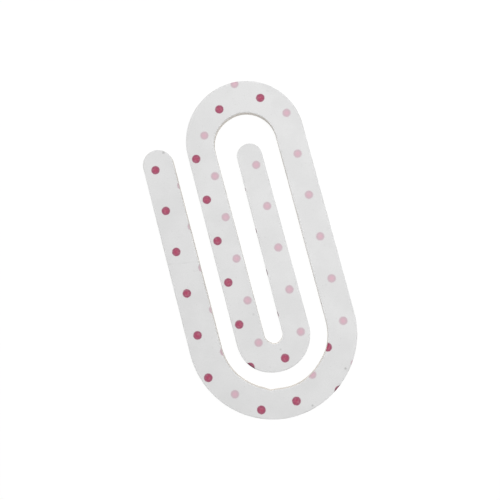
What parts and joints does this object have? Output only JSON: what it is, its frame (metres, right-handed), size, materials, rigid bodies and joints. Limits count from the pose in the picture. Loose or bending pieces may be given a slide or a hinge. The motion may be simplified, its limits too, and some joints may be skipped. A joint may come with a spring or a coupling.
{
  "type": "paper clip",
  "caption": "Flat double-loop paper clip die-cut from lined board, printed with dots; its inner loop, tail and tongue flex to grip sheets of paper.",
  "frame": {"origin": "under the middle of the outline's box, on the plain back that it lies on", "axes": "+Y along the legs towards the upper bend, +Z out of the printed face, +X from the tail to the outer leg"},
  "size_m": [0.0468, 0.0944, 0.002],
  "materials": {
    "grey_board": "matte",
    "printed_face": "matte",
    "white_liner": "matte"
  },
  "bodies": {
    "outer_loop": {"outer_leg_liner": "white_liner", "outer_leg_core": "grey_board", "outer_leg_face": "printed_face", "lower_bend_liner": "white_liner", "lower_bend_core": "grey_board", "lower_bend_face": "printed_face", "upper_bend_liner": "white_liner", "upper_bend_core": "grey_board", "upper_bend_face": "printed_face"},
    "tail": {"tail_liner": "white_liner", "tail_core": "grey_board", "tail_face": "printed_face"},
    "inner_loop": {"inner_leg_liner": "white_liner", "inner_leg_core": "grey_board", "inner_leg_face": "printed_face", "inner_bend_liner": "white_liner", "inner_bend_core": "grey_board", "inner_bend_face": "printed_face"},
    "tongue": {"tongue_liner": "white_liner", "tongue_core": "grey_board", "tongue_face": "printed_face"}
  },
  "joints": [
    {"name": "tail_lift", "type": "hinge", "parent": "outer_loop", "child": "tail", "pos_m": [-0.01897, -0.02281, 0.001], "axis": [1, 0, 0], "range_deg": [0, 9], "stiffness_Nm_per_rad": 0.15, "deforming": ["lower_bend_liner", "lower_bend_core", "lower_bend_face"]},
    {"name": "inner_loop_lift", "type": "hinge", "parent": "outer_loop", "child": "inner_loop", "pos_m": [-0.00625, 0.02839, 0.001], "axis": [-1, 0, 0], "range_deg": [0, 6], "stiffness_Nm_per_rad": 0.18, "deforming": ["upper_bend_liner", "upper_bend_core", "upper_bend_face"]},
    {"name": "tongue_lift", "type": "hinge", "parent": "inner_loop", "child": "tongue", "pos_m": [0.0067, -0.02331, 0.001], "axis": [1, 0, 0], "range_deg": [0, 4], "stiffness_Nm_per_rad": 0.27, "deforming": ["inner_bend_liner", "inner_bend_core", "inner_bend_face"]}
  ]
}
